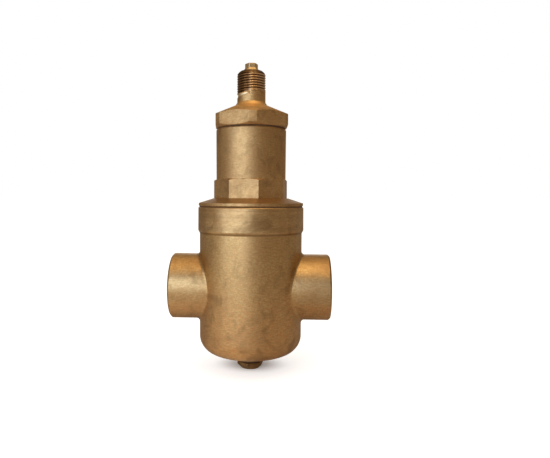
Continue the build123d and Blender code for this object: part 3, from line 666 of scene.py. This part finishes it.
def thread_brass(finish, sizes):
    """Cut thread: dark in the grooves, polished round the neck by the die, with pale crests on the outlet side
    as a painted highlight and dark crests on the inlet side as painted shade.
    """
    t = Finish("cut thread brass", 0.0004, 0.003)
    place = t.add("SeparateXYZ", {0: t.place()}).outputs
    deep = t.ramp(t.from_axis(place), sizes.thread, sizes.thread - sizes.depth)
    # Crests are pale on the outlet side as a painted highlight and dark on the inlet side as painted shade.
    crest = t.mix(t.ramp(place["X"], *CREST_PAINTED_LIGHT_SIDE_STEP), finish.crest, finish.thread)
    tone = t.mix(deep, crest, shade(finish.thread, 0.3))
    tone = t.lay(tone, t.blotch, 0.3, shade(finish.reddish, 0.5))
    t.shader.inputs["Anisotropic"].default_value = 0.8
    t.shader.inputs["Anisotropic Rotation"].default_value = 0.25
    return t.done(tone, (0.23, 0.18), t.grain, 0.000004)


def cap_brass(finish):
    """Vent cap: satin forging, with a painted reflection in orange round the foot of the neck, and the thread's
    run-out painted bright, partly as newly cut brass and partly as a painted highlight.

    The run-out's edges fall towards the inlet side, each by a share of the distance from the middle.
    """
    t = Finish("satin cap brass", finish.grain * 0.9, 0.006)
    place = t.add("SeparateXYZ", {0: t.place()}).outputs
    upright = t.group("turned lines", axis=UPRIGHT, pitch=0.00035)
    # The run-out's bright patch, newly cut brass and a painted highlight, is kept to the inlet side.
    aside = t.math("MINIMUM", t.math("ABSOLUTE", t.math("MINIMUM", place["X"], 0.0)), RUN_OUT_REACH)
    lower_edge = t.math("MULTIPLY_ADD", aside, 0.33, place["Z"])
    upper_edge = t.math("MULTIPLY_ADD", aside, 0.17, place["Z"])
    fresh_cut_and_highlight = t.times(t.ramp(lower_edge, *RUN_OUT_LOWER_STEP), t.ramp(upper_edge, *RUN_OUT_UPPER_STEP))
    fresh_cut_and_highlight = t.times(fresh_cut_and_highlight, t.ramp(place["X"], *RUN_OUT_SIDE_STEP))
    neck = t.ramp(place["Z"], *NECK_STEP)
    # The band round the foot of the neck that takes a painted reflection in orange.
    foot = t.band(place["Z"], *NECK_FOOT_PAINTED_REFLECTION_BAND)
    tone = t.mix(t.blotch, shade(finish.forged, 0.97), shade(finish.forged, 1.08))
    tone = aged(t, tone, finish.reddish)
    # The run-out painted bright: newly cut brass and a painted highlight.
    tone = t.lay(tone, fresh_cut_and_highlight, 0.9, finish.fresh_cut_and_highlight)
    # Painted reflection in orange round the foot of the neck.
    tone = t.lay(tone, foot, 0.8, finish.warm)
    blasted = t.times(t.grain, t.math("SUBTRACT", 1.0, t.times(fresh_cut_and_highlight, 0.95)))
    height = t.plus(blasted, t.times(upright["Height"], t.times(neck, 0.4)))
    rough = t.ramp(t.blotch, 0.0, 1.0, finish.roughness + 0.24, finish.roughness + 0.18)
    finer = t.math("MAXIMUM", t.math("MAXIMUM", fresh_cut_and_highlight, foot), t.times(neck, 0.7))
    return t.done(tone, t.math("SUBTRACT", rough, t.times(finer, 0.10)), height, 0.00006)


def plug_brass(finish):
    """Drain plug: dark brass with brighter rubbed spots."""
    t = Finish("darkened plug brass", 0.0004, 0.003)
    marks = t.group("handling marks", size=0.012)
    tone = t.mix(t.blotch, shade(finish.plug, 0.65), finish.plug)
    tone = t.lay(tone, marks["Stain"], 0.5, shade(finish.plug, 1.7))
    return t.done(tone, (0.46, 0.34), t.grain, 0.00004)


def steel(finish, name="pressed stainless", grain_size=0.25):
    """Pressed sheet or wire: fine one-way grain and faint scratches; the grain's size in millimetres."""
    t = Finish(name, grain_size * MM, 0.004)
    lines = t.group("turned lines", axis=ALONG_PIPE, pitch=0.00015)
    marks = t.group("handling marks", size=0.01)
    tone = t.mix(t.blotch, shade(finish.steel, 0.85), finish.steel)
    tone = t.lay(tone, marks["Scratch"], 0.5, shade(finish.steel, 1.25))
    height = t.plus(t.grain, lines["Height"])
    return t.done(tone, t.ramp(lines["Bands"], 0, 1, 0.24, 0.36), height, 0.00001)


def plastic(name, rgb, roughness, grain_size, depth):
    """Moulded plastic, rubber or pressed fibre: fine texture and faint stains; lengths in millimetres."""
    t = Finish(name, grain_size * MM, 0.008, metallic=0.0)
    marks = t.group("handling marks", size=0.02)
    tone = t.mix(t.blotch, shade(rgb, 0.90), shade(rgb, 1.06))
    tone = t.lay(tone, marks["Stain"], 0.12, shade(rgb, 0.7))
    return t.done(tone, (roughness - 0.05, roughness + 0.06), t.grain, depth * MM)


def dress(nodes, material):
    """Gives packed nodes a material in place of their plain one."""
    for node in nodes:
        mesh = NODES[node].data
        mesh.materials.clear()
        mesh.materials.append(material)


def stand_in(piece, node, body, material):
    """Lets a new piece ride on a body in place of a packed node."""
    piece.data.materials.append(material)
    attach(piece, body)
    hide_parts(node)


# ---- operators


class SEP_OT_housing(bpy.types.Operator):
    """Finish the cast body, with its turned collar and sockets, and the float chamber"""

    bl_idname = "separator.housing"
    bl_label = "Body and float chamber"

    def execute(self, context):
        dress(["separator_body"], body_brass(context.scene.sep_finish))
        dress(["float_chamber"], chamber_brass(context.scene.sep_finish))
        return {"FINISHED"}


class SEP_OT_cap(bpy.types.Operator):
    """Build the vent cap: hexagon, cone, neck with its cut thread, bores and spigot"""

    bl_idname = "separator.cap"
    bl_label = "Vent cap"

    def execute(self, context):
        s = context.scene.sep_cap
        low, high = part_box("vent_cap")
        land = pi / 6 - np.arccos(s.flats / 2 / s.corner)
        angles, outer = hexagon(s, limit=s.corner, count=168, edges=(-land, land))
        slope = tan(s.cone_angle)
        cone_top = s.corner_top + (s.corner - s.neck) * slope
        foot_step, chamfer, fillet, bore_foot = 0.0003, 0.00075, 0.0016, 0.001
        foot = s.flats / 2 - foot_step
        lower = profile(
            angles,
            (s.spigot_bore, low.z),
            (s.spigot - chamfer, low.z),
            (s.spigot, low.z + chamfer),
            (s.spigot, s.bottom),
            (foot, s.bottom),
            (outer, s.bottom + (outer - foot) * tan(s.bevel_angle)),
            (outer, s.corner_top + (s.corner - outer) * slope),
            (s.neck + fillet, cone_top - fillet * slope),
            (s.neck, cone_top + fillet),
            (s.neck, s.relief_bottom),
            rounding=0.00035,
        )

        # The run-out under the thread: a shallow scoop whose depth and edges vary round the neck.
        left = s.turn - pi / 2
        along = (angles - left + pi) % (2 * pi) - pi
        scoop = around_neck(along, {-150: 0, -60: 0.5, 0: 0.5, 38: 0.2, 74: 1.05, 84: 0})
        start = s.thread_bottom - around_neck(along, {-150: 0, -40: 1.1, 38: 1.1, 84: 0})
        lower_edge = s.relief_bottom + around_neck(along, {0: 0, 38: 0.2, 73: 1.9})
        depth_in, depth_out = 0.25, 0.12
        run_out = []
        for part in np.linspace(0, 1, 16):
            rise = min(part / depth_in, (1 - part) / depth_out, 1.0)
            height = lower_edge + (start - lower_edge) * part
            run_out += profile(angles, (s.neck - scoop * sin(rise * pi / 2), height))

        # The thread, with a rounded lead at its top: its width grows with a power of the height.
        lead_power = 1.7
        thread = threaded_rows(angles, start, high.z, s.thread, s, fade_turn=left - 0.5, per_pitch=20)[1:]
        for r in thread:
            drop = np.clip((r[:, 1] - (high.z - s.chamfer_height)) / s.chamfer_height, 0, 1)
            r[:, 0] = np.minimum(r[:, 0], s.thread - s.chamfer_width * drop**lead_power)
        upper = profile(
            angles,
            (s.thread - s.chamfer_width - 0.0002, high.z),
            (s.bore, high.z),
            (s.bore, high.z - s.screw_depth),
            (s.vent, high.z - s.screw_depth),
            (s.vent, s.vent_bottom + s.bore),
            (s.bore, s.vent_bottom),
            (s.bore, s.seat_face),
            (s.seat_boss, s.seat_face),
            (s.spigot_bore, s.seat_face - (s.spigot_bore - s.seat_boss) * slope),
            (s.spigot_bore, low.z + bore_foot),
            rounding=0.00025,
        )
        piece = turned_piece("vent_cap_threaded", angles, lower + run_out + thread + upper)
        finish = context.scene.sep_finish
        stand_in(piece, "vent_cap", "separator", cap_brass(finish))
        piece.data.materials.append(thread_brass(finish, s))
        first = (len(lower) + len(run_out) - 1) * len(angles)
        slots = np.zeros(len(piece.data.polygons), int)
        slots[first : first + (len(thread) + 1) * len(angles)] = 1
        piece.data.polygons.foreach_set("material_index", slots)
        return {"FINISHED"}


class SEP_OT_vent_screw(bpy.types.Operator):
    """Build the vent screw: small hexagon, cone, groove, threaded shank and duct"""

    bl_idname = "separator.vent_screw"
    bl_label = "Vent screw"

    def execute(self, context):
        s = context.scene.sep_screw
        low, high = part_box("vent_screw")
        clearance, land, edge, head_edge, corner_cut = 0.0003, 0.0002, 0.0005, 0.0004, 0.00012
        angles, outer = hexagon(s, limit=s.flats / 2 / cos(pi / 6) - corner_cut, count=96)
        head_bottom = high.z - s.head
        seat = head_bottom - s.flange_height
        groove = seat - s.wire - clearance
        bottom = profile(angles, (s.duct, low.z), (s.shank - s.depth, low.z))
        thread_bottom, thread_top = low.z + clearance, groove - land
        shank = threaded_rows(angles, thread_bottom, thread_top, s.shank, s, fade_turn=0.0, per_pitch=10)
        upper = profile(
            angles,
            (s.shank, groove),
            (s.shank - s.wire, groove),
            (s.shank - s.wire, seat),
            (s.flange, seat),
            (s.flange - 0.0001, seat + 0.0003),
            (outer, head_bottom),
            (outer, high.z - head_edge),
            (outer - edge, high.z),
            (s.duct + edge, high.z),
            (s.duct, high.z - edge),
            rounding=0.00015,
        )
        piece = turned_piece("vent_screw_cut", angles, bottom + shank + upper)
        rgb = context.scene.sep_finish.screw
        material = brass("turned screw brass", rgb, roughness=0.30, grain_size=0.3, pitch=0.3, depth=0.0015)
        stand_in(piece, "vent_screw", "vent_screw", material)
        return {"FINISHED"}


class SEP_OT_drain_plug(bpy.types.Operator):
    """Build the drain plug: bevelled hexagon and hollow threaded shank"""

    bl_idname = "separator.drain_plug"
    bl_label = "Drain plug"

    def execute(self, context):
        s = context.scene.sep_plug
        low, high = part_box("drain_plug")
        edge, land, corner_cut = 0.0004, 0.0001, 0.00015
        angles, outer = hexagon(s, limit=s.flats / 2 / cos(pi / 6) - corner_cut, count=120)
        core = s.shank - s.depth
        head_top = low.z + s.head
        thread_bottom = head_top + s.washer
        head = profile(
            angles,
            (s.face * 0.5, low.z),
            (s.face, low.z),
            (outer, low.z + outer - s.face),
            (outer, head_top - edge),
            (outer - edge, head_top),
            (core, head_top),
            rounding=0.0003,
        )
        neck = profile(angles, (core, head_top + edge), (s.shank - land, thread_bottom))
        shank = threaded_rows(angles, thread_bottom + land, high.z - edge, s.shank, s, fade_turn=1.0)
        bore = profile(
            angles,
            (core - 0.0003, high.z),
            (s.bore, high.z),
            (s.bore, thread_bottom),
            (s.bore * 0.3, thread_bottom),
            rounding=0.0002,
        )
        piece = turned_piece("drain_plug_cut", angles, head + neck + shank + bore, closed=False)
        stand_in(piece, "drain_plug", "drain_plug", plug_brass(context.scene.sep_finish))
        return {"FINISHED"}


class SEP_OT_screen(bpy.types.Operator):
    """Weave the sleeve of wire mesh round the bubble element"""

    bl_idname = "separator.screen"
    bl_label = "Woven mesh"

    def execute(self, context):
        s = context.scene.sep_mesh
        low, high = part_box("element_screen")
        clearance = 0.00002
        radius = high.x - 2 * s.wire - clearance
        turn = np.arange(s.uprights) * 2 * pi / s.uprights
        levels = np.linspace(low.z + 2 * s.wire, high.z - 2 * s.wire, s.rings)
        sway = s.wire * (1 - 2 * ((np.arange(s.uprights)[:, None] + np.arange(s.rings)[None, :]) % 2))
        angle_grid, level_grid = np.meshgrid(turn, levels, indexing="ij")

        def points(offset, angles, heights):
            """Points on the sleeve: (radius + offset) outwards at each angle and height."""
            r = radius + offset
            return np.stack([r * np.cos(angles), r * np.sin(angles), heights], -1)

        def outward(angles):
            """Directions straight out from the axis."""
            return np.stack([np.cos(angles), np.sin(angles), np.zeros_like(angles)], -1)

        around = np.concatenate([angle_grid, angle_grid[:1] + 2 * pi], 0).T
        over = np.concatenate([-sway, -sway[:1]], 0).T
        heights = np.concatenate([level_grid, level_grid[:1]], 0).T
        uprights, rings = points(sway, angle_grid, level_grid), points(over, around, heights)
        posts = tubes("screen_upright_wires", uprights, outward(angle_grid), s.wire)
        hoops = tubes("screen_ring_wires", rings, outward(around), s.wire)
        steel_wire = steel(context.scene.sep_finish, "woven steel wire", 0.15)
        for piece in (posts, hoops):
            stand_in(piece, "element_screen", "separator", steel_wire)
        return {"FINISHED"}


class SEP_OT_seals(bpy.types.Operator):
    """Finish the flat seals, the washer and the rubber parts"""

    bl_idname = "separator.seals"
    bl_label = "Seals"

    def execute(self, context):
        f = context.scene.sep_finish
        flat_seals = ["body_seal_ring", "cap_seal_ring", "drain_plug_washer"]
        fibre = plastic("pressed fibre", f.fibre, roughness=0.75, grain_size=0.2, depth=0.02)
        dress(flat_seals, fibre)
        rubber = plastic("black rubber", f.rubber, roughness=0.55, grain_size=0.15, depth=0.008)
        dress(["vent_screw_oring", "valve_tip"], rubber)
        return {"FINISHED"}


class SEP_OT_float_valve(bpy.types.Operator):
    """Finish the float, its lever, pins, bracket and valve"""

    bl_idname = "separator.float_valve"
    bl_label = "Float valve"

    def execute(self, context):
        f = context.scene.sep_finish
        float_parts = ["float_upper_shell", "float_lower_shell", "float_stem"]
        lever_parts = ["lever_bracket", "bracket_screws", "lever_pin", "valve_lever", "valve_link_pin"]
        name = "pale moulded float plastic"
        dress(float_parts, plastic(name, f.float_plastic, roughness=0.42, grain_size=0.25, depth=0.012))
        dress([*lever_parts, "float_link_pin"], steel(f))
        inner = brass("turned inner brass", f.inner, roughness=0.28, grain_size=0.25, pitch=0.2, depth=0.015)
        dress(["valve_seat", "valve_pin"], inner)
        return {"FINISHED"}


class SEP_OT_element(bpy.types.Operator):
    """Finish the bubble element's cage, plates and core, and the splash baffle"""

    bl_idname = "separator.element"
    bl_label = "Bubble element"

    def execute(self, context):
        f = context.scene.sep_finish
        moulded = ["element_bottom_plate", "element_top_plate", "element_cage"]
        name = "dark moulded cage plastic"
        dress(moulded, plastic(name, f.cage_plastic, roughness=0.5, grain_size=0.3, depth=0.015))
        dress(["element_core_tube", "splash_baffle"], steel(f, "rolled stainless sheet", 0.3))
        return {"FINISHED"}


class SEP_OT_stage(bpy.types.Operator):
    """Set the pale floor, the soft light, the white background and the camera"""

    bl_idname = "separator.stage"
    bl_label = "Stage"

    def execute(self, context):
        scene = context.scene
        s = scene.sep_studio
        camera = add_object("camera", bpy.data.cameras.new("camera"))
        camera.data.lens = s.focal
        camera.data.sensor_width = 36.0
        camera.data.shift_x = s.shift_x
        camera.data.shift_y = s.shift_y
        camera.data.clip_start = 0.01
        camera.location = (s.distance * cos(s.azimuth), s.distance * sin(s.azimuth), s.height)
        camera.rotation_euler = (pi / 2, s.roll, s.azimuth + pi / 2)
        scene.camera = camera

        # Soft boxes aimed at the object's middle: name, azimuth from the camera's and elevation in degrees,
        # width and height in metres, brightness where 1 is white, and colour.
        lamps = (
            ("key", -33, 2, 1.04, 1.15, s.key_level, (0.79, 0.89, 1.0)),
            ("top", 28, 68, 0.62, 0.86, 0.60, (1.0, 0.72, 0.36)),
            ("front", 5, 59, 0.16, 0.70, 1.1, (1.0, 0.80, 0.53)),
            ("left strip", -104, 8, 0.22, 0.70, 0.2, (1.0, 0.92, 0.80)),
            ("right", 126, -2, 0.90, 1.10, 0.05, (1.0, 0.78, 0.55)),
        )
        distance, middle = 0.95, 0.11
        for name, turn, elevation, width, height, level, rgb in lamps:
            light = bpy.data.lights.new(name, "AREA")
            light.shape = "RECTANGLE"
            light.size, light.size_y = width, height
            light.energy = level * pi * width * height
            light.color = rgb
            azimuth, elevation = s.azimuth + radians(turn), radians(elevation)
            flat = distance * cos(elevation)
            obj = add_object(name, light)
            obj.location = (flat * cos(azimuth), flat * sin(azimuth), middle + distance * sin(elevation))
            obj.rotation_euler = (pi / 2 - elevation, 0, azimuth + pi / 2)

        floor = self.floor(s)
        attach(floor, "drain_plug_seal")  # the part stands on its drain plug, however far it is out
        self.world(scene, s)
        scene.view_settings.view_transform = "Standard"
        return {"FINISHED"}

    @staticmethod
    def ray_kinds(t):
        """The rays that come from the camera, from polished or clear surfaces, and from matt ones."""
        path = t.add("LightPath").outputs
        mirrored = t.math("MAXIMUM", path["Is Glossy Ray"], path["Is Transmission Ray"])
        return path["Is Camera Ray"], mirrored, path["Is Diffuse Ray"]

    @classmethod
    def floor(cls, s):
        """A flat pale floor, lit by the lamps and partly by itself.

        The camera sees it near white, and darker close round the plug, where the part's shadow falls and where
        the floor's own glow is turned down as a painted shadow. The metal sees it near white only far behind
        the object, and elsewhere as a dim warm bounce.
        """
        half = 60.0
        corners = [(-half, -half, 0), (half, -half, 0), (half, half, 0), (-half, half, 0)]
        mesh = bpy.data.meshes.new("floor")
        mesh.from_pydata(corners, [], [(0, 1, 2, 3)])
        mesh.update()
        material = bpy.data.materials.new("pale floor")
        material.use_nodes = True
        mesh.materials.append(material)
        t = Tree(material.node_tree)
        camera, mirrored, _ = cls.ray_kinds(t)
        place = t.place()
        back = (-cos(s.azimuth), -sin(s.azimuth), 0)
        left = (sin(s.azimuth), -cos(s.azimuth), 0)
        aim = t.vector("NORMALIZE", place)
        beyond = t.vector("DOT_PRODUCT", place, back)
        facing = t.vector("DOT_PRODUCT", aim, back)
        aside = t.vector("DOT_PRODUCT", aim, left)
        behind = t.times(t.ramp(beyond, 0.25, 0.6), t.ramp(facing, 0.93, 0.985))
        seen = t.math("MAXIMUM", camera, t.times(mirrored, behind))
        paint = t.add("BsdfDiffuse", {"Color": t.mix(mirrored, s.floor, shade(s.floor, 0.25))})
        bounce = t.mix(t.ramp(aside, -0.6, 0.5), s.bounce, s.bounce_left)
        bounce = t.mix(t.ramp(beyond, -0.03, 0.02), bounce, shade(s.bounce, 0.6))
        # The floor's own glow is turned down close round the plug: a painted shadow under the part, added to
        # the shadow that the lamps cast.
        from_plug = t.vector("LENGTH", t.mapped(place, Location=(0, -0.0078, 0), Scale=(1, 1.3, 1)))
        own = t.ramp(from_plug, 0.006, 0.030, s.floor_glow * 0.2, s.floor_glow)
        to_metal = t.mix(mirrored, (0, 0, 0), bounce)
        glow = t.add("Emission", {"Color": t.mix(seen, to_metal, own), "Strength": 1.0})
        both = t.add("AddShader", {0: paint.outputs[0], 1: glow.outputs[0]})
        t.add("OutputMaterial", {0: both.outputs[0]})
        return add_object("floor", mesh)

    @classmethod
    def world(cls, scene, s):
        """White where the camera looks; to the metal, white behind the object and a dim room elsewhere."""
        world = bpy.data.worlds.new("studio")
        world.use_nodes = True
        scene.world = world
        t = Tree(world.node_tree)
        camera, mirrored, diffuse = cls.ray_kinds(t)
        direction = t.add("TexCoord").outputs["Generated"]
        facing = t.vector("DOT_PRODUCT", direction, (-cos(s.azimuth), -sin(s.azimuth), 0.15))
        behind = t.ramp(facing, 0.92, 0.985)
        white = t.math("MAXIMUM", camera, t.times(mirrored, behind))
        height = t.add("SeparateXYZ", {0: direction}).outputs["Z"]
        around = t.mix(t.ramp(height, 0.6, 0.98), s.room, s.ceiling)
        tone = t.mix(t.math("MAXIMUM", white, t.times(diffuse, s.daylight)), around, (1, 1, 1))
        background = t.add("Background", {"Color": tone, "Strength": 1.0})
        t.add("OutputWorld", {0: background.outputs[0]})


OUTSIDE = (SEP_OT_housing, SEP_OT_cap, SEP_OT_vent_screw, SEP_OT_drain_plug)
INSIDE = (SEP_OT_screen, SEP_OT_seals, SEP_OT_float_valve, SEP_OT_element)
PIECES = (*OUTSIDE, *INSIDE, SEP_OT_stage)
SETTINGS = {
    "sep_cap": SEP_CapSizes,
    "sep_screw": SEP_ScrewSizes,
    "sep_plug": SEP_PlugSizes,
    "sep_mesh": SEP_MeshSizes,
    "sep_finish": SEP_Finish,
    "sep_studio": SEP_Studio,
}


class SEP_PT_panel(bpy.types.Panel):
    """Lists the pieces and their settings"""

    bl_idname = "SEP_PT_panel"
    bl_label = "Air separator"
    bl_space_type = "VIEW_3D"
    bl_region_type = "UI"
    bl_category = "Air separator"

    def draw(self, context):
        for operator in PIECES:
            self.layout.operator(operator.bl_idname)
        for name, group_class in SETTINGS.items():
            box = self.layout.box()
            box.label(text=group_class.__doc__)
            for key in group_class.__annotations__:
                box.prop(getattr(context.scene, name), key)


def register():
    for name, group_class in SETTINGS.items():
        bpy.utils.register_class(group_class)
        setattr(bpy.types.Scene, name, bpy.props.PointerProperty(type=group_class))
    for operator in PIECES:
        bpy.utils.register_class(operator)
    bpy.utils.register_class(SEP_PT_panel)


def unregister():
    bpy.utils.unregister_class(SEP_PT_panel)
    for operator in reversed(PIECES):
        bpy.utils.unregister_class(operator)
    for name, group_class in reversed(SETTINGS.items()):
        delattr(bpy.types.Scene, name)
        bpy.utils.unregister_class(group_class)


def main():
    """Registers the add-on and builds every piece."""
    register()
    for operator in PIECES:
        family, name = operator.bl_idname.split(".")
        getattr(getattr(bpy.ops, family), name)()
    bpy.context.view_layer.update()


if __name__ == "__main__":
    main()
